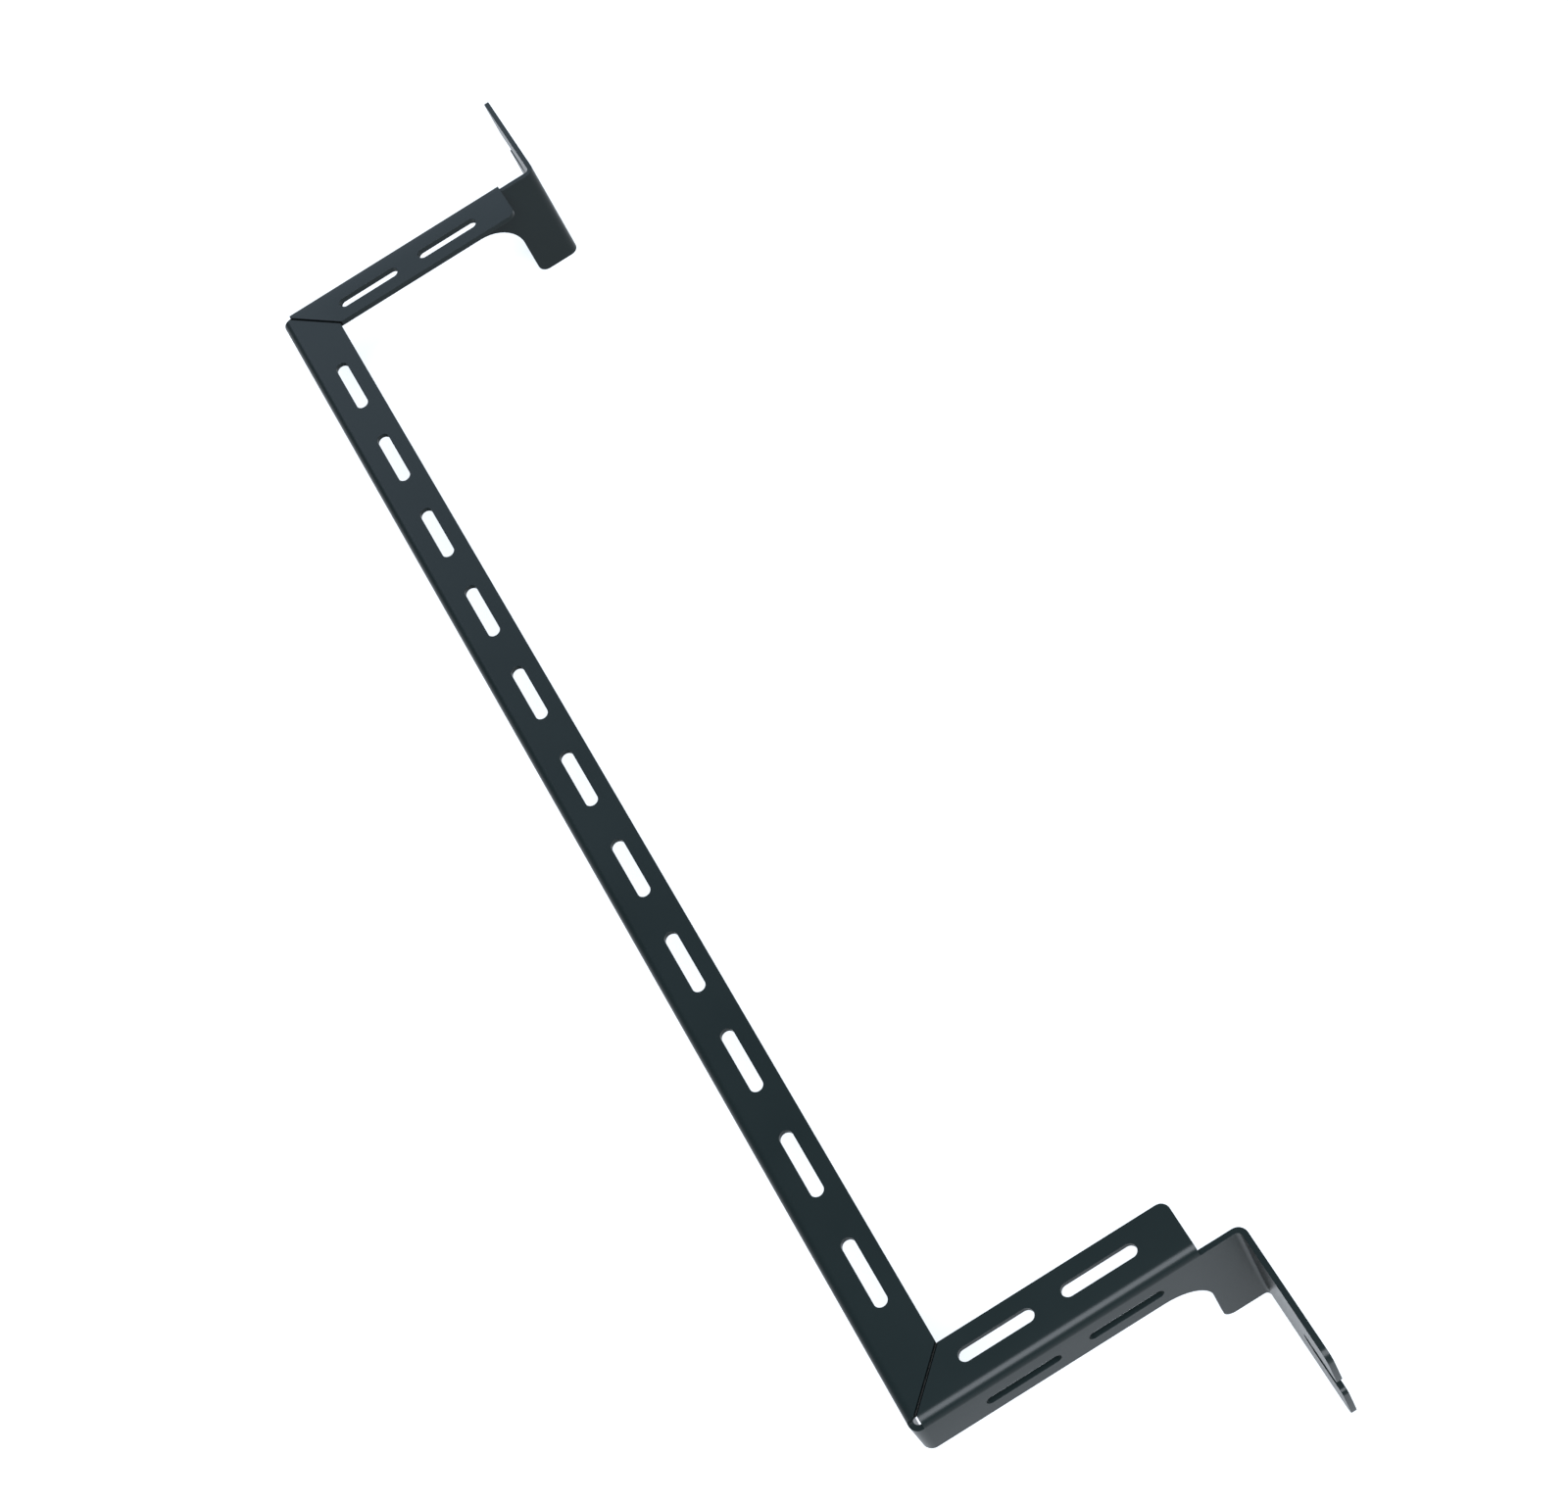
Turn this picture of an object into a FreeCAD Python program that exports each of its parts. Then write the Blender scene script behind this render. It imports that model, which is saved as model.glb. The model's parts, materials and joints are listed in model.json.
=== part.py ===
import FreeCAD, Part
import enum
import math
import os

import Sketcher

# An offset lacing bar for a 19-inch rack: one steel sheet, cut out flat and folded, with no joints.
# Seen from above the strip runs ear, arm, bar, arm, ear. The bar and the arms are angles: a flange
# on top and a web below it on the outside of the bay, both punched with lacing slots.
# X runs along the bar, +Y towards the rack rail that the ears seat on, and +Z up to the flange.
# The origin lies midway between the two screw slots, on the seating face of the ears.

NODE = "lacing_bar"

# Driving sizes in millimetres
SIZES = {
    # The ears, set by the rack: the spacing of its screw columns and what stands past them
    "screw_spacing": 465.1,
    "ear_end_margin": 8.75,
    "ear_height": 38.1,
    "ear_slot_width": 7.0,
    "ear_slot_play": 3.0,
    "prong_corner": 3.0,
    "mouth_corner": 1.5,
    # The folded strip: its thickness, the inside radius of every fold and the plan of the bay
    "sheet_thickness": 1.5,
    "bend_radius": 1.25,
    "arm_inset": 27.8,
    "offset_depth": 88.3,
    # The angle section, measured over its outside faces
    "flange_width": 15.1,
    "web_height": 15.1,
    # The ends of the arms, measured from the seating face, and the corners of the bay
    "flange_setback": 11.9,
    "flange_corner": 2.5,
    "lobe_length": 13.4,
    "lobe_fillet": 11.0,
    "lobe_corner": 3.0,
    "mitre_gap": 0.3,
    # The lacing slots
    "lace_length": 20.0,
    "lace_width": 3.6,
    "lace_pitch": 33.0,
    "arm_lace_first": 27.7,
    "arm_lace_pitch": 27.5,
}

X_WAY = FreeCAD.Vector(1, 0, 0)
Y_WAY = FreeCAD.Vector(0, 1, 0)
Z_WAY = FreeCAD.Vector(0, 0, 1)
SIDES = (-1, 1)
SKETCH_ORIGIN = (-1, 1)
TOUCHING = 1e-4


class Point(enum.IntEnum):
    """The points that a sketch numbers on each of its lines and arcs."""

    START = 1
    END = 2
    CENTRE = 3


class Length:
    """A size that carries its value and the expression that ties it to the sheet."""

    def __init__(self, text, value):
        self.text = text
        self.value = value

    def __add__(self, other):
        return Length(f"({self.text} + {other.text})", self.value + other.value)

    def __sub__(self, other):
        return Length(f"({self.text} - {other.text})", self.value - other.value)

    def __mul__(self, number):
        return Length(f"({self.text} * {number!r})", self.value * number)

    def __neg__(self):
        return self * -1

    def whole_times(self, other):
        """How many whole times the other size goes into this one."""
        return Length(f"floor({self.text} / {other.text})", math.floor(self.value / other.value))

    def times(self, other):
        return Length(f"({self.text} * {other.text})", self.value * other.value)


ZERO = Length("0", 0.0)
ONE = Length("1", 1.0)


def make_sheet(doc):
    """Writes the driving sizes into a sheet and gives each one back as a Length."""
    sheet = doc.addObject("Spreadsheet::Sheet", "sizes")
    for row, (name, value) in enumerate(SIZES.items(), 1):
        sheet.set(f"A{row}", name)
        sheet.set(f"B{row}", str(value))
        sheet.setAlias(f"B{row}", name)
    doc.recompute()
    return {name: Length(f"sizes.{name}", float(sheet.get(name))) for name in SIZES}


def origin_part(body, role):
    return next(part for part in body.Origin.OriginFeatures if part.Role == role)


def new_sketch(body, name, role, lift=None):
    """A sketch on one of the body's origin planes, lifted along the plane's normal."""
    sketch = body.newObject("Sketcher::SketchObject", name)
    sketch.AttachmentSupport = [(origin_part(body, role), "")]
    sketch.MapMode = "FlatFace"
    if lift is not None:
        sketch.setExpression("AttachmentOffset.Base.z", lift.text)
    return sketch


def bind(sketch, kind, *places, to):
    """Adds a dimension to a sketch and ties it to the sheet."""
    index = sketch.addConstraint(Sketcher.Constraint(kind, *places, to.value))
    sketch.setExpression(f"Constraints[{index}]", to.text)


def draw_polygon(sketch, corners):
    """A closed outline of straight lines through corners given as pairs of Length.

    A line whose ends share a size is level or upright and is placed once. A slanting line is
    placed at both its ends.
    """
    points = [FreeCAD.Vector(x.value, y.value, 0) for x, y in corners]
    count = len(corners)
    lines = [
        sketch.addGeometry(Part.LineSegment(points[i], points[(i + 1) % count]), False)
        for i in range(count)
    ]
    for i, line in enumerate(lines):
        following = lines[(i + 1) % count]
        sketch.addConstraint(Sketcher.Constraint("Coincident", line, Point.END, following, Point.START))
    for i, line in enumerate(lines):
        (x, y), (next_x, next_y) = corners[i], corners[(i + 1) % count]
        if y is next_y:
            sketch.addConstraint(Sketcher.Constraint("Horizontal", line))
            bind(sketch, "DistanceY", *SKETCH_ORIGIN, line, Point.START, to=y)
        elif x is next_x:
            sketch.addConstraint(Sketcher.Constraint("Vertical", line))
            bind(sketch, "DistanceX", *SKETCH_ORIGIN, line, Point.START, to=x)
        else:
            place_slanting_end(sketch, corners, i, line, Point.START)
            place_slanting_end(sketch, corners, i + 1, line, Point.END)


def place_slanting_end(sketch, corners, index, line, point):
    """Places the end of a slanting line along the level or upright line that it meets."""
    count = len(corners)
    x, y = corners[index % count]
    neighbour = index - 1 if point == Point.START else index + 1
    if corners[neighbour % count][1] is y:
        bind(sketch, "DistanceX", *SKETCH_ORIGIN, line, point, to=x)
    else:
        bind(sketch, "DistanceY", *SKETCH_ORIGIN, line, point, to=y)


def draw_slot(sketch, centre, length, width, upright=False):
    """A slot with round ends, level or upright, placed by its centre and its overall length."""
    half_run = (length - width) * 0.5
    radius = width * 0.5
    x, y = centre
    way = FreeCAD.Vector(0, 1, 0) if upright else FreeCAD.Vector(1, 0, 0)
    aside = FreeCAD.Vector(-way.y, way.x, 0)
    middle = FreeCAD.Vector(x.value, y.value, 0)
    low = middle - way * half_run.value
    high = middle + way * half_run.value
    turn = math.pi / 2 if upright else 0.0
    flat = Z_WAY
    right = Part.LineSegment(low - aside * radius.value, high - aside * radius.value)
    left = Part.LineSegment(high + aside * radius.value, low + aside * radius.value)
    far_end = Part.ArcOfCircle(Part.Circle(high, flat, radius.value), turn - math.pi / 2, turn + math.pi / 2)
    near_end = Part.ArcOfCircle(Part.Circle(low, flat, radius.value), turn + math.pi / 2, turn + 3 * math.pi / 2)
    chain = [sketch.addGeometry(piece, False) for piece in (right, far_end, left, near_end)]
    for piece, following in zip(chain, chain[1:] + chain[:1]):
        sketch.addConstraint(Sketcher.Constraint("Tangent", piece, Point.END, following, Point.START))
    first_line, high_arc, _, low_arc = chain
    sketch.addConstraint(Sketcher.Constraint("Vertical" if upright else "Horizontal", first_line))
    sketch.addConstraint(Sketcher.Constraint("Equal", high_arc, low_arc))
    bind(sketch, "Radius", high_arc, to=radius)
    along = "DistanceY" if upright else "DistanceX"
    across = "DistanceX" if upright else "DistanceY"
    start, side = (y, x) if upright else (x, y)
    bind(sketch, along, *SKETCH_ORIGIN, low_arc, Point.CENTRE, to=start - half_run)
    bind(sketch, along, *SKETCH_ORIGIN, high_arc, Point.CENTRE, to=start + half_run)
    bind(sketch, across, *SKETCH_ORIGIN, low_arc, Point.CENTRE, to=side)


def draw_fold(sketch, centre, inner, outer, side):
    """The section of a quarter-turn fold that comes up from a web on the given side of its centre."""
    x, y = centre
    middle = FreeCAD.Vector(x.value, y.value, 0)
    start, stop = (0.0, math.pi / 2) if side > 0 else (math.pi / 2, math.pi)
    level, upright = (Point.START, Point.END) if side > 0 else (Point.END, Point.START)
    arcs = [
        sketch.addGeometry(Part.ArcOfCircle(Part.Circle(middle, Z_WAY, size.value), start, stop), False)
        for size in (inner, outer)
    ]
    ends = []
    for point in (level, upright):
        near, far = (sketch.getPoint(arc, point) for arc in arcs)
        line = sketch.addGeometry(Part.LineSegment(near, far), False)
        sketch.addConstraint(Sketcher.Constraint("Coincident", line, Point.START, arcs[0], point))
        sketch.addConstraint(Sketcher.Constraint("Coincident", line, Point.END, arcs[1], point))
        ends.append(line)
    sketch.addConstraint(Sketcher.Constraint("Coincident", arcs[0], Point.CENTRE, arcs[1], Point.CENTRE))
    sketch.addConstraint(Sketcher.Constraint("Horizontal", ends[0]))
    sketch.addConstraint(Sketcher.Constraint("Vertical", ends[1]))
    sketch.addConstraint(Sketcher.Constraint("PointOnObject", arcs[0], Point.CENTRE, ends[0]))
    sketch.addConstraint(Sketcher.Constraint("PointOnObject", arcs[0], Point.CENTRE, ends[1]))
    bind(sketch, "Radius", arcs[0], to=inner)
    bind(sketch, "Radius", arcs[1], to=outer)
    bind(sketch, "DistanceX", *SKETCH_ORIGIN, arcs[0], Point.CENTRE, to=x)
    bind(sketch, "DistanceY", *SKETCH_ORIGIN, arcs[0], Point.CENTRE, to=y)


def add_pad(body, name, sketch, length, symmetric=False, backwards=False):
    pad = body.newObject("PartDesign::Pad", name)
    pad.Profile = sketch
    pad.SideType = "Symmetric" if symmetric else "One side"
    pad.Reversed = backwards
    pad.setExpression("Length", length.text)
    body.Document.recompute()
    return pad


def add_cut(body, name, sketch):
    """Cuts a sketch right through the body, both ways."""
    before = body.Shape.Volume
    cut = body.newObject("PartDesign::Pocket", name)
    cut.Profile = sketch
    cut.Type = "ThroughAll"
    cut.SideType = "Symmetric"
    body.Document.recompute()
    if cut.Shape.Volume >= before:
        raise ValueError(f"{name} cuts nothing")
    return cut


def add_row(body, name, original, axis_role, pitch, count):
    """Repeats a cut along one of the body's axes."""
    row = body.newObject("PartDesign::LinearPattern", name)
    row.Originals = [original]
    row.Direction = (origin_part(body, axis_role), [""])
    row.Mode = "Spacing"
    row.setExpression("Offset", pitch.text)
    row.setExpression("Occurrences", count.text)
    body.Tip = row
    body.Document.recompute()
    return row


def add_fillet(body, name, way, places, radius):
    """Rounds the straight edges that run one way through the given places."""
    base = body.Tip
    names = []
    for number, edge in enumerate(base.Shape.Edges, 1):
        straight = edge.Curve.TypeId == "Part::GeomLine"
        if not straight or abs(edge.tangentAt(edge.FirstParameter).dot(way)) < 1 - TOUCHING:
            continue
        middle = edge.CenterOfMass
        across = middle - way * middle.dot(way)
        if any(across.distanceToPoint(place) < TOUCHING for place in places):
            names.append(f"Edge{number}")
    if len(names) < len(places):
        raise ValueError(f"{name} finds {len(names)} edges for {len(places)} places")
    fillet = body.newObject("PartDesign::Fillet", name)
    fillet.Base = (base, names)
    fillet.setExpression("Radius", radius.text)
    body.Document.recompute()
    return fillet


doc = FreeCAD.newDocument("lacing_bar")
size = make_sheet(doc)
body = doc.addObject("PartDesign::Body", NODE)
body.Label = NODE

# Places worked out from the driving sizes
thickness = size["sheet_thickness"]
fold_outside = size["bend_radius"] + thickness
screw_x = size["screw_spacing"] * 0.5
ear_end = screw_x + size["ear_end_margin"]
arm_outside = screw_x - size["arm_inset"]
arm_inside = arm_outside - thickness
bar_outside = -size["offset_depth"]
bar_inside = bar_outside + thickness
ear_back = -thickness
ear_top = size["ear_height"] * 0.5
ear_bottom = -ear_top
flange_top = ear_top + fold_outside
web_bottom = flange_top - size["web_height"]
lobe_edge = -size["lobe_length"]
flange_end = -size["flange_setback"]

# The strip on edge, folded twice at the ears and twice at the corners of the bay
plan = new_sketch(body, "strip_plan", "XY_Plane")
left_arm_outside = -arm_outside
left_arm_inside = -arm_inside
left_ear_end = -ear_end
draw_polygon(
    plan,
    [
        (left_ear_end, ZERO),
        (left_arm_inside, ZERO),
        (left_arm_inside, bar_inside),
        (arm_inside, bar_inside),
        (arm_inside, ZERO),
        (ear_end, ZERO),
        (ear_end, ear_back),
        (arm_outside, ear_back),
        (arm_outside, bar_outside),
        (left_arm_outside, bar_outside),
        (left_arm_outside, ear_back),
        (left_ear_end, ear_back),
    ],
)
add_pad(body, "strip", plan, size["ear_height"], symmetric=True)
outside_folds = [(side * arm_outside.value, bar_outside.value) for side in SIDES]
outside_folds += [(side * arm_inside.value, 0.0) for side in SIDES]
inside_folds = [(side * arm_inside.value, bar_inside.value) for side in SIDES]
inside_folds += [(side * arm_outside.value, ear_back.value) for side in SIDES]
add_fillet(body, "folds_outside", Z_WAY, [FreeCAD.Vector(x, y, 0) for x, y in outside_folds], fold_outside)
add_fillet(body, "folds_inside", Z_WAY, [FreeCAD.Vector(x, y, 0) for x, y in inside_folds], size["bend_radius"])

# The web's lower edge, which sweeps down into a lobe as tall as the ear
lower = new_sketch(body, "lower_edge", "YZ_Plane")
cut_start = bar_outside - thickness
cut_bottom = ear_bottom - thickness
draw_polygon(
    lower,
    [
        (cut_start, web_bottom),
        (lobe_edge, web_bottom),
        (lobe_edge, cut_bottom),
        (cut_start, cut_bottom),
    ],
)
add_cut(body, "web_cut", lower)
lobe_root = FreeCAD.Vector(0, lobe_edge.value, web_bottom.value)
lobe_foot = FreeCAD.Vector(0, lobe_edge.value, ear_bottom.value)
add_fillet(body, "lobe_sweep", X_WAY, [lobe_root], size["lobe_fillet"])
add_fillet(body, "lobe_round", X_WAY, [lobe_foot], size["lobe_corner"])

# The folds that carry the flange. They stop short of each corner, where the sheet is notched
slit_run = size["mitre_gap"] * math.sqrt(0.5)
relief = fold_outside + slit_run
relief_x = arm_outside - relief
relief_y = bar_outside + relief
bar_fold = new_sketch(body, "bar_fold_section", "YZ_Plane")
bar_fold_centre = (bar_outside + fold_outside, ear_top)
draw_fold(bar_fold, bar_fold_centre, size["bend_radius"], fold_outside, -1)
add_pad(body, "bar_fold", bar_fold, relief_x * 2, symmetric=True)
arm_folds = new_sketch(body, "arm_fold_sections", "XZ_Plane", lift=-relief_y)
arm_fold_x = arm_outside - fold_outside
for side in SIDES:
    draw_fold(arm_folds, (arm_fold_x * side, ear_top), size["bend_radius"], fold_outside, side)
add_pad(body, "arm_folds", arm_folds, flange_end - relief_y, backwards=True)

# The flat of the flange: a bar and two arms, mitred at the corners with an open slit
flats = new_sketch(body, "flange_plan", "XY_Plane", lift=flange_top)
flat_start = bar_outside + fold_outside
bar_edge = bar_outside + size["flange_width"]
bar_corner = arm_outside - size["flange_width"] - slit_run
draw_polygon(
    flats,
    [
        (-relief_x, flat_start),
        (relief_x, flat_start),
        (bar_corner, bar_edge),
        (-bar_corner, bar_edge),
    ],
)
arm_edge = arm_outside - size["flange_width"]
arm_corner = bar_edge + slit_run
for side in SIDES:
    edge_x = arm_edge * side
    fold_x = arm_fold_x * side
    draw_polygon(
        flats,
        [
            (fold_x, relief_y),
            (edge_x, arm_corner),
            (edge_x, flange_end),
            (fold_x, flange_end),
        ],
    )
add_pad(body, "flange", flats, thickness, backwards=True)
flange_tips = [FreeCAD.Vector(side * arm_edge.value, flange_end.value, 0) for side in SIDES]
add_fillet(body, "flange_round", Z_WAY, flange_tips, size["flange_corner"])

# Lacing slots along the middle of each flat, as many as its length has room for
lace_length = size["lace_length"]
lace_width = size["lace_width"]
flange_middle = (fold_outside + size["flange_width"]) * 0.5
web_middle = flange_top - (fold_outside + size["web_height"]) * 0.5
bar_room = arm_edge * 2 - lace_length
bar_gaps = bar_room.whole_times(size["lace_pitch"])
bar_count = bar_gaps + ONE
first_x = -(bar_gaps.times(size["lace_pitch"]) * 0.5)
bar_flange_slot = new_sketch(body, "bar_flange_slot", "XY_Plane")
draw_slot(bar_flange_slot, (first_x, bar_outside + flange_middle), lace_length, lace_width)
bar_flange_cut = add_cut(body, "bar_flange_cut", bar_flange_slot)
add_row(body, "bar_flange_row", bar_flange_cut, "X_Axis", size["lace_pitch"], bar_count)
bar_web_slot = new_sketch(body, "bar_web_slot", "XZ_Plane")
draw_slot(bar_web_slot, (first_x, web_middle), lace_length, lace_width)
bar_web_cut = add_cut(body, "bar_web_cut", bar_web_slot)
add_row(body, "bar_web_row", bar_web_cut, "X_Axis", size["lace_pitch"], bar_count)

first_y = bar_outside + size["arm_lace_first"]
arm_room = flange_end - first_y - lace_length * 0.5
arm_count = arm_room.whole_times(size["arm_lace_pitch"]) + ONE
arm_flange_slots = new_sketch(body, "arm_flange_slots", "XY_Plane")
for side in SIDES:
    slot_x = (arm_outside - flange_middle) * side
    draw_slot(arm_flange_slots, (slot_x, first_y), lace_length, lace_width, upright=True)
arm_flange_cut = add_cut(body, "arm_flange_cut", arm_flange_slots)
add_row(body, "arm_flange_row", arm_flange_cut, "Y_Axis", size["arm_lace_pitch"], arm_count)
arm_web_slot = new_sketch(body, "arm_web_slot", "YZ_Plane")
draw_slot(arm_web_slot, (first_y, web_middle), lace_length, lace_width)
arm_web_cut = add_cut(body, "arm_web_cut", arm_web_slot)
add_row(body, "arm_web_row", arm_web_cut, "Y_Axis", size["arm_lace_pitch"], arm_count)

# Each ear is a fork: its screw slot runs out through the end, between two rounded prongs
ear_slots = new_sketch(body, "ear_slots", "XZ_Plane")
slot_root = screw_x - size["ear_slot_play"] - size["ear_slot_width"] * 0.5
slot_tool_end = ear_end + size["ear_slot_width"]
slot_tool_length = slot_tool_end - slot_root
slot_tool_middle = (slot_tool_end + slot_root) * 0.5
for side in SIDES:
    draw_slot(ear_slots, (slot_tool_middle * side, ZERO), slot_tool_length, size["ear_slot_width"])
add_cut(body, "ear_cut", ear_slots)
prong_tips = [FreeCAD.Vector(side * ear_end.value, 0, up * ear_top.value) for side in SIDES for up in SIDES]
half_mouth = size["ear_slot_width"].value / 2
mouth_lips = [FreeCAD.Vector(side * ear_end.value, 0, up * half_mouth) for side in SIDES for up in SIDES]
add_fillet(body, "prong_rounds", Y_WAY, prong_tips, size["prong_corner"])
add_fillet(body, "mouth_rounds", Y_WAY, mouth_lips, size["mouth_corner"])

# Nothing is written unless every object is sound and the bar is one solid
doc.recompute()
for item in doc.Objects:
    if "Invalid" in item.State or "Error" in item.State:
        raise ValueError(f"{item.Name} failed: {item.State}")
if body.Shape.isNull() or not body.Shape.isValid() or len(body.Shape.Solids) != 1:
    raise ValueError("the bar is not one sound solid")

os.makedirs("parts", exist_ok=True)
body.Shape.exportStep(f"parts/{NODE}.step")
box = body.Shape.BoundBox
print(f"{NODE}: {box.XLength:.2f} x {box.YLength:.2f} x {box.ZLength:.2f} mm, {len(body.Shape.Faces)} faces")
print(f"volume {body.Shape.Volume:.1f} mm3, {int(bar_count.value)} slots along the bar")
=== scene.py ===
# %% [markdown]
# # A folded lacing bar in black powder coat
#
# A lacing bar stands off the rails of an equipment rack, and cable bundles are tied to its slots.
# It is one steel sheet, cut out flat, folded and coated. This lesson starts from the exact solid of
# the folded sheet, gives it the soft edges and the fine-grained coat of the real bar, and lights it
# as a small studio would. All lengths are in metres, in the frame of the solid: X along the bar,
# +Y towards the rack's rails, +Z up to the flange.

# %% Tools and the exact solid
import json
import math

import bpy
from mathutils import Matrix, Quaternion, Vector

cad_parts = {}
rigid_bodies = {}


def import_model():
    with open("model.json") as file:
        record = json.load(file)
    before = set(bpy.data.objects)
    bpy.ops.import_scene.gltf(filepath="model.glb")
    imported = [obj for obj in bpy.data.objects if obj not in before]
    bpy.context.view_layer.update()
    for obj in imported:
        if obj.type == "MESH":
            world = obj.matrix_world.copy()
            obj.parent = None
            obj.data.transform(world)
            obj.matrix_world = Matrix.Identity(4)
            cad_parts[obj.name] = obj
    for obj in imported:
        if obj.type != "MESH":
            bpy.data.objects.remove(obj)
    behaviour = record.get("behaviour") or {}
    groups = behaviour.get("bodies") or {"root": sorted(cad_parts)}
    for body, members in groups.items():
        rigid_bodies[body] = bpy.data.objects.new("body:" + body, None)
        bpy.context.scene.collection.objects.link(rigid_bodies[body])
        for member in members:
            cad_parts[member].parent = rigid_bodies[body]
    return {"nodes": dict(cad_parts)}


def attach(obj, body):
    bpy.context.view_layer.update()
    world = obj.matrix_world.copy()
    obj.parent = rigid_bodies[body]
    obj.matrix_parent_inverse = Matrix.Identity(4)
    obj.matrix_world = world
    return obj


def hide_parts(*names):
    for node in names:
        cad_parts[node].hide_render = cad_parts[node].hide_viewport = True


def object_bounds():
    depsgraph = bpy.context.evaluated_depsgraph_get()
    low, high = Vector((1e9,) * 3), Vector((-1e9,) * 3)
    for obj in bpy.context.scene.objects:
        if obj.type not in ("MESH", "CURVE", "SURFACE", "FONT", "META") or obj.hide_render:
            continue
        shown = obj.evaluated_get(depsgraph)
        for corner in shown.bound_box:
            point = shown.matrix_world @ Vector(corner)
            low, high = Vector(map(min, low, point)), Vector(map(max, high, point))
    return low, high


for leftover in list(bpy.data.objects):
    bpy.data.objects.remove(leftover)

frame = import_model()
cad_low, cad_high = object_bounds()
sheet_node = frame["nodes"]["lacing_bar"]
MILLIMETRE = 0.001
spans = [round((high - low) / MILLIMETRE, 2) for low, high in zip(cad_low, cad_high)]
print("solid spans in mm:", spans, "triangles:", len(sheet_node.data.polygons))

# %% [markdown]
# ## The coat
#
# Powder coat is sprayed on dry and baked. It dries to a satin skin with a fine grain that is felt
# more than seen, and its black is a little blue. An image of a coated panel would do for one side,
# but would stretch on the folds. Noise read from Object coordinates is solid, so it runs through
# folds and slots without a seam. One noise with coarse patches moves the colour and the gloss a
# little, as an uneven spray does, and one with fine grains lifts the surface. The mirror of the coat
# is weak: a low index of refraction keeps the white floor from turning the black webs grey.
#
# At the corners two flanges meet in an open mitre slit, which reads as a dark line on the real bar,
# because little light reaches into so narrow a gap. A floor as white as this one would glint in the
# walls of the slit, so shade is painted there: the coat's colour and mirror are darkened on its walls
# and rims.
# The slit lies where the distance in from the arm's outside equals the distance in from the bar's
# outside. That makes |X| + Y the same all along it, on both sides at once, which is an easy rule to
# write as a few math nodes.

# %% Black powder coat
PATCH_SIZE = 30 * MILLIMETRE
PATCH_DETAIL = 3.0
GRAIN_SIZE = 0.45 * MILLIMETRE
GRAIN_DETAIL = 2.0
GRAIN_HEIGHT = 0.006 * MILLIMETRE
COAT_THIN = (0.0034, 0.0062, 0.0064, 1.0)
COAT_FULL = (0.0053, 0.0088, 0.0090, 1.0)
COAT_IOR = 1.22
FULL_MIRROR = 0.5
GLOSS_RANGE = (0.30, 0.36)
# The SEAM values paint shade into the coat along the mitre slits: how far out, how deep and how much
# darker.
SEAM_REACH = 0.60 * MILLIMETRE
SEAM_DEPTH = 1.8 * MILLIMETRE
SEAM_PAINTED_SHADE = 0.80
CLEAR_OF_EARS = -40 * MILLIMETRE

arm_outside = max(abs(point.co.x) for point in sheet_node.data.vertices if point.co.y < CLEAR_OF_EARS)
mitre_sum = arm_outside + cad_low.y
seam_bottom = cad_high.z - SEAM_DEPTH


def new_node(tree, kind, **settings):
    node = tree.nodes.new(kind)
    for name, value in settings.items():
        setattr(node, name, value)
    return node


def noise_of_size(tree, place, size, detail):
    """A noise whose features are about the given size, read from a vector output."""
    noise = new_node(tree, "ShaderNodeTexNoise")
    noise.inputs["Scale"].default_value = 1.0 / size
    noise.inputs["Detail"].default_value = detail
    tree.links.new(place, noise.inputs["Vector"])
    return noise.outputs["Fac"]


def math_node(tree, operation, *values):
    """The output of a math node fed by sockets or plain numbers."""
    node = new_node(tree, "ShaderNodeMath", operation=operation)
    for socket, value in zip(node.inputs, values):
        if isinstance(value, bpy.types.NodeSocket):
            tree.links.new(value, socket)
        else:
            socket.default_value = value
    return node.outputs["Value"]


def painted_seam_shade(tree, place):
    """Painted shade: one on the open sheet, and much less on the walls and rims of the mitre slits."""
    axes = new_node(tree, "ShaderNodeSeparateXYZ")
    tree.links.new(place, axes.inputs["Vector"])
    side = math_node(tree, "ABSOLUTE", axes.outputs["X"])
    off_slit = math_node(tree, "SUBTRACT", math_node(tree, "ADD", side, axes.outputs["Y"]), mitre_sum)
    near = math_node(tree, "LESS_THAN", math_node(tree, "ABSOLUTE", off_slit), SEAM_REACH)
    high = math_node(tree, "GREATER_THAN", axes.outputs["Z"], seam_bottom)
    in_seam = math_node(tree, "MULTIPLY", near, high)
    return math_node(tree, "SUBTRACT", 1.0, math_node(tree, "MULTIPLY", in_seam, SEAM_PAINTED_SHADE))


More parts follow.
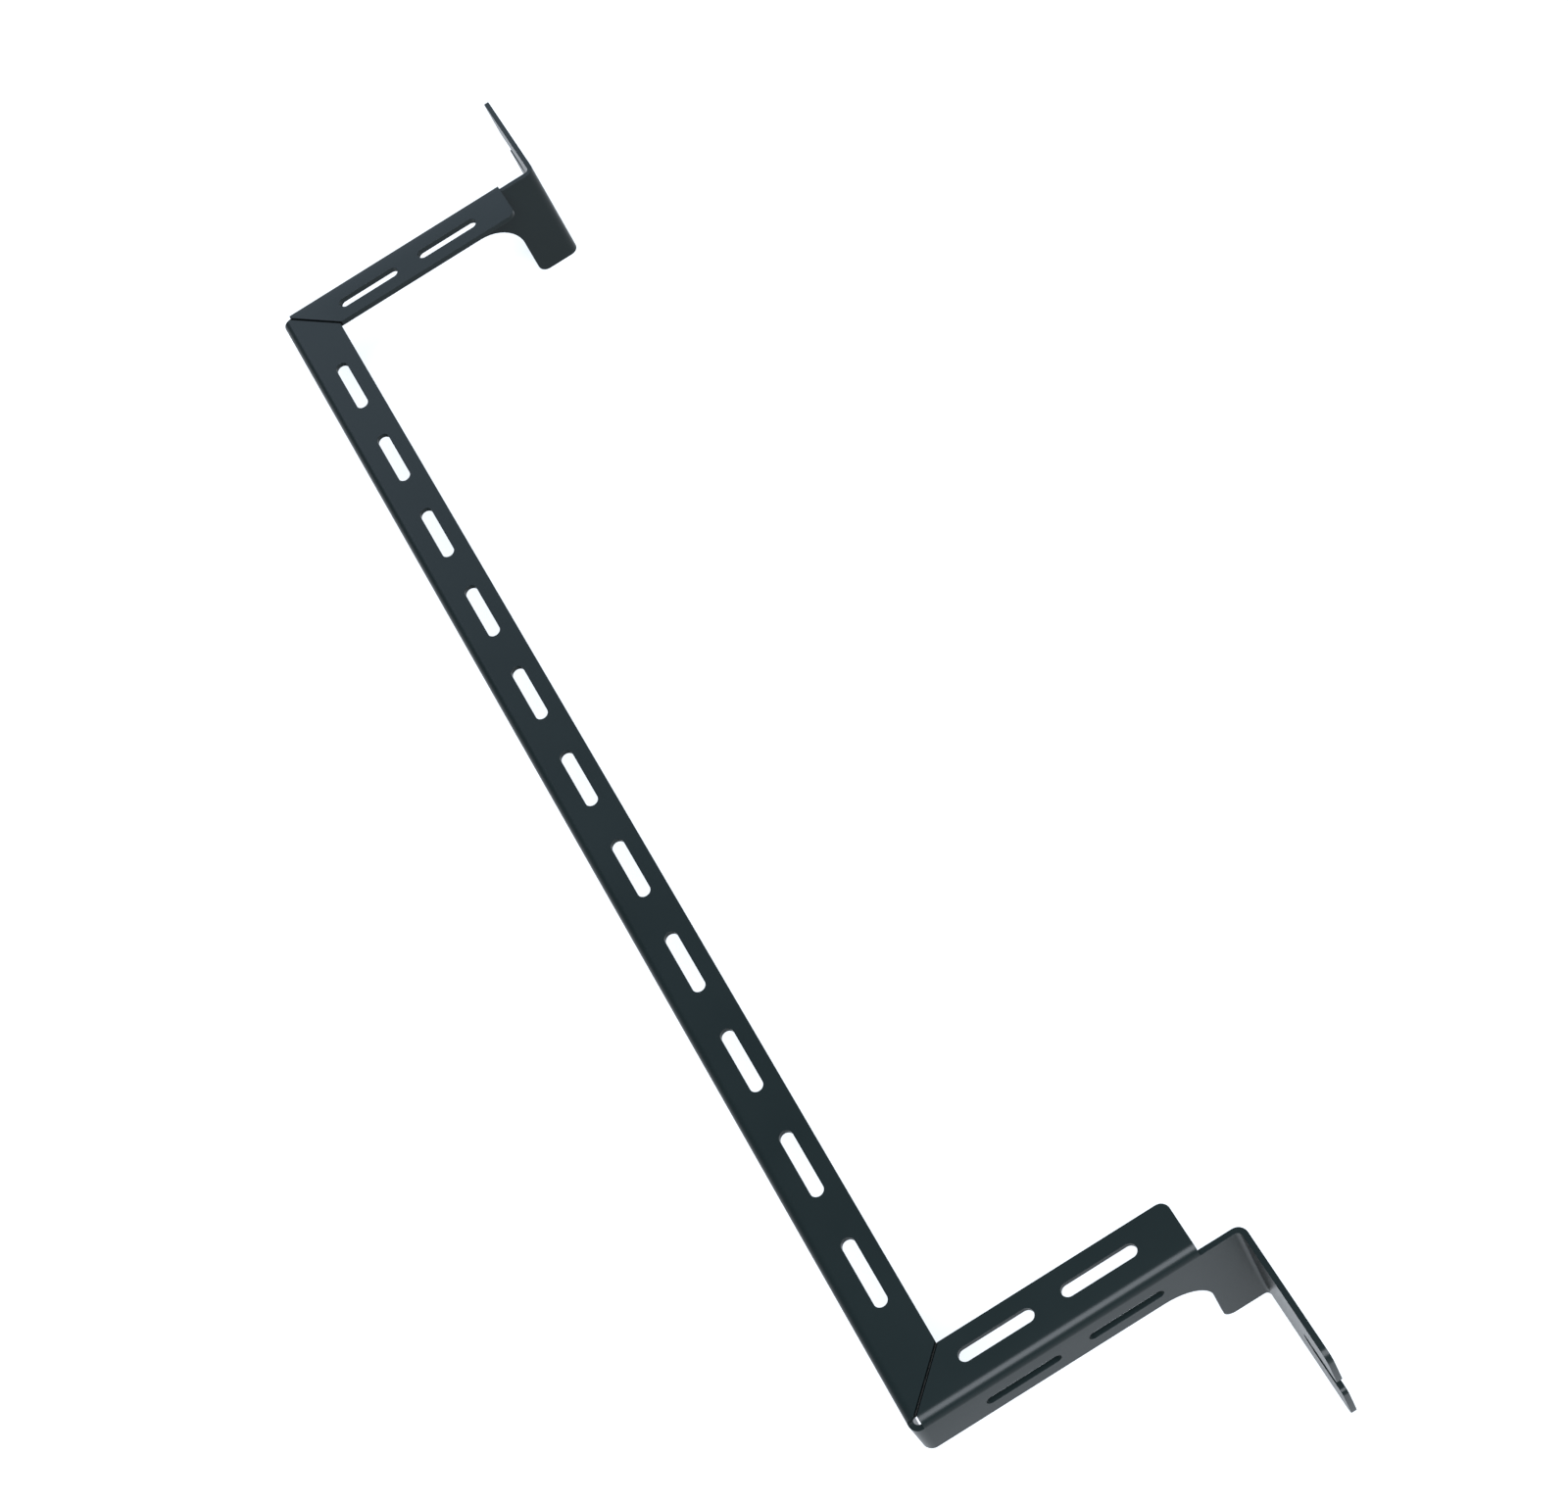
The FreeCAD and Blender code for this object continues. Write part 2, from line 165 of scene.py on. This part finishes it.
def make_powder_coat():
    coat = bpy.data.materials.new("black_powder_coat")
    coat.use_nodes = True
    tree = coat.node_tree
    shader = tree.nodes["Principled BSDF"]
    shader.inputs["IOR"].default_value = COAT_IOR
    place = new_node(tree, "ShaderNodeTexCoord").outputs["Object"]
    patches = noise_of_size(tree, place, PATCH_SIZE, PATCH_DETAIL)

    colour = new_node(tree, "ShaderNodeValToRGB")
    colour.color_ramp.elements[0].color = COAT_THIN
    colour.color_ramp.elements[1].color = COAT_FULL
    tree.links.new(patches, colour.inputs["Fac"])
    # Painted shade: the coat's colour is darkened along the mitre slits.
    shade = painted_seam_shade(tree, place)
    shaded = new_node(tree, "ShaderNodeVectorMath", operation="SCALE")
    tree.links.new(colour.outputs["Color"], shaded.inputs["Vector"])
    tree.links.new(shade, shaded.inputs["Scale"])
    tree.links.new(shaded.outputs["Vector"], shader.inputs["Base Color"])
    # The same painted shade dims the coat's mirror along the slits.
    mirror = math_node(tree, "MULTIPLY", shade, FULL_MIRROR)
    tree.links.new(mirror, shader.inputs["Specular IOR Level"])

    gloss = new_node(tree, "ShaderNodeMapRange")
    gloss.inputs["To Min"].default_value, gloss.inputs["To Max"].default_value = GLOSS_RANGE
    tree.links.new(patches, gloss.inputs["Value"])
    tree.links.new(gloss.outputs["Result"], shader.inputs["Roughness"])

    grain = new_node(tree, "ShaderNodeBump")
    grain.inputs["Distance"].default_value = GRAIN_HEIGHT
    tree.links.new(noise_of_size(tree, place, GRAIN_SIZE, GRAIN_DETAIL), grain.inputs["Height"])
    tree.links.new(grain.outputs["Normal"], shader.inputs["Normal"])
    return coat


powder_coat = make_powder_coat()
print("coat nodes:", len(powder_coat.node_tree.nodes))

# %% [markdown]
# ## The web slots
#
# Seen from above, the web slots of the real bar are fully dark, while those of the bare solid let a
# hair of white floor through. The coat lies on the walls of the slots too and narrows them, which is
# enough to close that view. Moving each wall by hand would be tedious, but every point near the slots'
# level belongs to a slot. A few nodes that ask only for a point's height therefore find them all and
# draw them towards the level by the same share.

# %% Slots narrowed by the coat
WEB_FOOT = 8 * MILLIMETRE
WEB_HEAD = 18 * MILLIMETRE
SLOT_COAT = 0.12 * MILLIMETRE
SLOT_MARGIN = 0.18 * MILLIMETRE

slot_heights = [
    point.co.z
    for point in sheet_node.data.vertices
    if point.co.y < CLEAR_OF_EARS and WEB_FOOT < point.co.z < WEB_HEAD
]
slot_top = max(slot_heights)
slot_bottom = min(slot_heights)
slot_height = slot_top - slot_bottom
slot_level = (slot_top + slot_bottom) / 2
slot_reach = slot_height / 2 + SLOT_MARGIN
slot_closing = 2 * SLOT_COAT / slot_height


def narrow_slots(tree, given, sheet):
    """Draws the points of the web slots towards the slots' level."""
    place = new_node(tree, "GeometryNodeInputPosition").outputs["Position"]
    axes = new_node(tree, "ShaderNodeSeparateXYZ")
    tree.links.new(place, axes.inputs["Vector"])
    below = math_node(tree, "SUBTRACT", given.outputs["Slot level"], axes.outputs["Z"])
    in_slot = math_node(tree, "LESS_THAN", math_node(tree, "ABSOLUTE", below), given.outputs["Slot reach"])
    closing = new_node(tree, "ShaderNodeCombineXYZ")
    tree.links.new(math_node(tree, "MULTIPLY", below, given.outputs["Slot closing"]), closing.inputs["Z"])
    narrowed = new_node(tree, "GeometryNodeSetPosition")
    tree.links.new(sheet, narrowed.inputs["Geometry"])
    tree.links.new(in_slot, narrowed.inputs["Selection"])
    tree.links.new(closing.outputs["Vector"], narrowed.inputs["Offset"])
    return narrowed.outputs["Geometry"]


print("web slot level in mm:", round(slot_level / MILLIMETRE, 2))
print("web slot height in mm:", round(slot_height / MILLIMETRE, 2))

# %% [markdown]
# ## The welded sheet
#
# The solid comes as loose triangles, which can't be rounded or shaded as one skin. A node tree welds
# a copy of them, lets the coat narrow the slots, keeps the folds smooth and marks the edges that turn
# sharply. The edges are a rule, one angle for the whole sheet, so a tree with named inputs suits it
# better than picking edges by hand.

# %% A tree that welds the sheet and marks its edges
WELD_DISTANCE = 0.001 * MILLIMETRE
SHARP_ANGLE = math.radians(30)
SIZE_INPUTS = ("Weld distance", "Sharp angle", "Slot level", "Slot reach", "Slot closing")


def mark_edges(tree, given, sheet):
    """Shades the sheet smooth, apart from the edges that turn sharply."""
    turn = new_node(tree, "GeometryNodeInputMeshEdgeAngle")
    is_sharp = new_node(tree, "FunctionNodeCompare", operation="GREATER_THAN", data_type="FLOAT")
    tree.links.new(turn.outputs["Unsigned Angle"], is_sharp.inputs["A"])
    tree.links.new(given.outputs["Sharp angle"], is_sharp.inputs["B"])
    smooth_flats = new_node(tree, "GeometryNodeSetShadeSmooth", domain="FACE")
    tree.links.new(sheet, smooth_flats.inputs["Geometry"])
    crisp_edges = new_node(tree, "GeometryNodeSetShadeSmooth", domain="EDGE")
    crisp_edges.inputs["Shade Smooth"].default_value = False
    tree.links.new(smooth_flats.outputs["Geometry"], crisp_edges.inputs["Geometry"])
    tree.links.new(is_sharp.outputs["Result"], crisp_edges.inputs["Selection"])
    return crisp_edges.outputs["Geometry"]


def make_sheet_tree():
    tree = bpy.data.node_groups.new("welded_sheet", "GeometryNodeTree")
    sockets = tree.interface
    sockets.new_socket("Sheet", in_out="INPUT", socket_type="NodeSocketGeometry")
    for name in SIZE_INPUTS:
        sockets.new_socket(name, in_out="INPUT", socket_type="NodeSocketFloat")
    sockets.new_socket("Coat", in_out="INPUT", socket_type="NodeSocketMaterial")
    sockets.new_socket("Sheet", in_out="OUTPUT", socket_type="NodeSocketGeometry")
    given = new_node(tree, "NodeGroupInput")
    weld = new_node(tree, "GeometryNodeMergeByDistance")
    tree.links.new(given.outputs["Sheet"], weld.inputs["Geometry"])
    tree.links.new(given.outputs["Weld distance"], weld.inputs["Distance"])
    narrowed = narrow_slots(tree, given, weld.outputs["Geometry"])
    marked = mark_edges(tree, given, narrowed)
    real = new_node(tree, "GeometryNodeRealizeInstances")
    tree.links.new(marked, real.inputs["Geometry"])
    coated = new_node(tree, "GeometryNodeSetMaterial")
    tree.links.new(real.outputs["Geometry"], coated.inputs["Geometry"])
    tree.links.new(given.outputs["Coat"], coated.inputs["Material"])
    result = new_node(tree, "NodeGroupOutput")
    tree.links.new(coated.outputs["Geometry"], result.inputs["Sheet"])
    return tree


def set_tree_inputs(modifier, **values):
    """Sets a modifier's inputs by the identifiers of the sockets with these names."""
    for item in modifier.node_group.interface.items_tree:
        key = item.name.lower().replace(" ", "_")
        if item.in_out == "INPUT" and key in values:
            modifier[item.identifier] = values[key]


sheet_tree = make_sheet_tree()
print("sheet tree nodes:", len(sheet_tree.nodes))

# %% [markdown]
# ## The rounded edges
#
# The solid's edges are perfectly sharp, and a sharp edge catches no light. On the real bar the punch
# rolls each edge a little and the coat rounds it further, so slots and rims carry a hair of light.
# Rounding in the solid would cost many faces for something so small, so two modifiers do it here. One
# joins the triangles of each flat, so that long thin ones can't pinch the rounding, and one rounds the
# edges that turn sharply.

# %% The sheet with rounded edges
EDGE_ROUND = 0.07 * MILLIMETRE
EDGE_STEPS = 3
FLAT_ANGLE = math.radians(0.5)


def coat_the_sheet():
    """A welded, rounded and coated copy of the solid, as a plain mesh at the origin."""
    blank = bpy.data.objects.new("sheet_blank", sheet_node.data.copy())
    bpy.context.scene.collection.objects.link(blank)
    weld = blank.modifiers.new("weld", "NODES")
    weld.node_group = sheet_tree
    set_tree_inputs(
        weld,
        weld_distance=WELD_DISTANCE,
        sharp_angle=SHARP_ANGLE,
        slot_level=slot_level,
        slot_reach=slot_reach,
        slot_closing=slot_closing,
        coat=powder_coat,
    )
    flats = blank.modifiers.new("flats", "DECIMATE")
    flats.decimate_type = "DISSOLVE"
    flats.angle_limit = FLAT_ANGLE
    rounding = blank.modifiers.new("rounding", "BEVEL")
    rounding.limit_method = "ANGLE"
    rounding.angle_limit = SHARP_ANGLE
    rounding.width = EDGE_ROUND
    rounding.segments = EDGE_STEPS
    rounding.use_clamp_overlap = False
    rounding.harden_normals = True
    finished = bpy.data.meshes.new_from_object(blank.evaluated_get(bpy.context.evaluated_depsgraph_get()))
    bpy.data.objects.remove(blank)
    finished.name = "coated_sheet"
    piece = bpy.data.objects.new("coated_sheet", finished)
    bpy.context.scene.collection.objects.link(piece)
    return piece


coated_sheet = coat_the_sheet()
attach(coated_sheet, "root")
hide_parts("lacing_bar")
print("coated sheet points:", len(coated_sheet.data.vertices))
print("coated sheet faces:", len(coated_sheet.data.polygons))

# %% [markdown]
# ## Floor
#
# The bar is shown on plain white, without a shadow. A painted floor alone would be grey under the bar
# and in its slots. A panel that glows evenly, as a light table does, stays white there, and the rest
# of its brightness comes from the lamps.

# %% White floor
FLOOR_SIZE = 20.0
FLOOR_DROP = 0.02 * MILLIMETRE
FLOOR_PAINT = (0.25, 0.25, 0.25, 1.0)
FLOOR_ROUGHNESS = 0.9
FLOOR_GLOW = (0.68, 0.73, 0.78, 1.0)
GLOW_STRENGTH = 1.0


def make_floor():
    half = FLOOR_SIZE / 2
    level = cad_low.z - FLOOR_DROP
    mesh = bpy.data.meshes.new("studio_floor")
    outline = [(-half, -half, level), (half, -half, level), (half, half, level), (-half, half, level)]
    mesh.from_pydata(outline, [], [(0, 1, 2, 3)])
    panel = bpy.data.materials.new("glowing_panel")
    panel.use_nodes = True
    shader = panel.node_tree.nodes["Principled BSDF"]
    shader.inputs["Base Color"].default_value = FLOOR_PAINT
    shader.inputs["Roughness"].default_value = FLOOR_ROUGHNESS
    shader.inputs["Emission Color"].default_value = FLOOR_GLOW
    shader.inputs["Emission Strength"].default_value = GLOW_STRENGTH
    mesh.materials.append(panel)
    floor = bpy.data.objects.new("studio_floor", mesh)
    bpy.context.scene.collection.objects.link(floor)
    return floor


floor = make_floor()
print("floor level in mm:", round(floor.data.vertices[0].co.z / MILLIMETRE, 2))

# %% [markdown]
# ## Light
#
# What shapes a black satin part is what it mirrors, more than what falls on it. The webs mirror the
# floor and come out lighter. The flanges mirror the dim back of the studio and come out darkest, and
# at the far end a bluish window lifts them a little. The folds catch the overhead softbox in a thin
# band. Lamps are set by the brightness of their face, because that is what a mirror shows, and the
# power that Blender asks for is worked out from it and the face's area.

# %% Soft studio light
DIM_STUDIO = (0.22, 0.24, 0.27, 1.0)
COOL_WHITE = (0.94, 0.99, 1.07)
WINDOW_BLUE = (0.80, 0.92, 1.12)


def add_softbox(name, place, aim, size, brightness, colour):
    """A rectangular softbox of the given sides, as bright as the given radiance."""
    lamp = bpy.data.lights.new(name, "AREA")
    lamp.shape = "RECTANGLE"
    lamp.size, lamp.size_y = size
    lamp.energy = brightness * math.pi * size[0] * size[1]
    lamp.color = colour
    holder = bpy.data.objects.new(name, lamp)
    holder.location = place
    holder.rotation_euler = (Vector(aim) - Vector(place)).to_track_quat("-Z", "Y").to_euler()
    bpy.context.scene.collection.objects.link(holder)


world = bpy.data.worlds.new("studio")
world.use_nodes = True
backdrop = world.node_tree.nodes["Background"]
backdrop.inputs["Color"].default_value = DIM_STUDIO
bpy.context.scene.world = world
add_softbox(
    "overhead_softbox",
    place=(1.05, 0.0, 1.7),
    aim=(0.1, 0.0, 0.0),
    size=(1.3, 1.6),
    brightness=18.5,
    colour=COOL_WHITE,
)
add_softbox(
    "far_window",
    place=(-1.6, 0.0, 1.05),
    aim=(-0.2, 0.0, 0.0),
    size=(2.0, 1.1),
    brightness=2.8,
    colour=WINDOW_BLUE,
)

# %% [markdown]
# ## Camera
#
# The photograph looks down along the bar from above its near end, and the picture is turned so that
# the bar lies on a slant. The place, the aim and the lens come from a fit to the edges of the bar and
# to its row of slots, so that the rows converge as they do in the photograph. The turn about the
# line of sight is kept apart from the aim, which keeps both easy to read.

# %% Camera at the photograph's angle
CAMERA_PLACE = Vector((0.49783, -0.03797, 0.68835))
CAMERA_AIM = Vector((0.01234, -0.03002, 0.0))
CAMERA_TURN = math.radians(-31.28)
LENS_LENGTH = 72.888
SENSOR_WIDTH = 36.0

lens = bpy.data.cameras.new("photo_camera")
lens.sensor_fit = "HORIZONTAL"
lens.sensor_width = SENSOR_WIDTH
lens.lens = LENS_LENGTH
camera = bpy.data.objects.new("photo_camera", lens)
line_of_sight = (CAMERA_AIM - CAMERA_PLACE).to_track_quat("-Z", "Y")
camera.location = CAMERA_PLACE
camera.rotation_mode = "QUATERNION"
camera.rotation_quaternion = line_of_sight @ Quaternion((0, 0, 1), CAMERA_TURN)
bpy.context.scene.collection.objects.link(camera)
bpy.context.scene.camera = camera
bpy.context.scene.view_settings.view_transform = "Standard"
print("camera distance in mm:", round((CAMERA_PLACE - CAMERA_AIM).length / MILLIMETRE, 1))
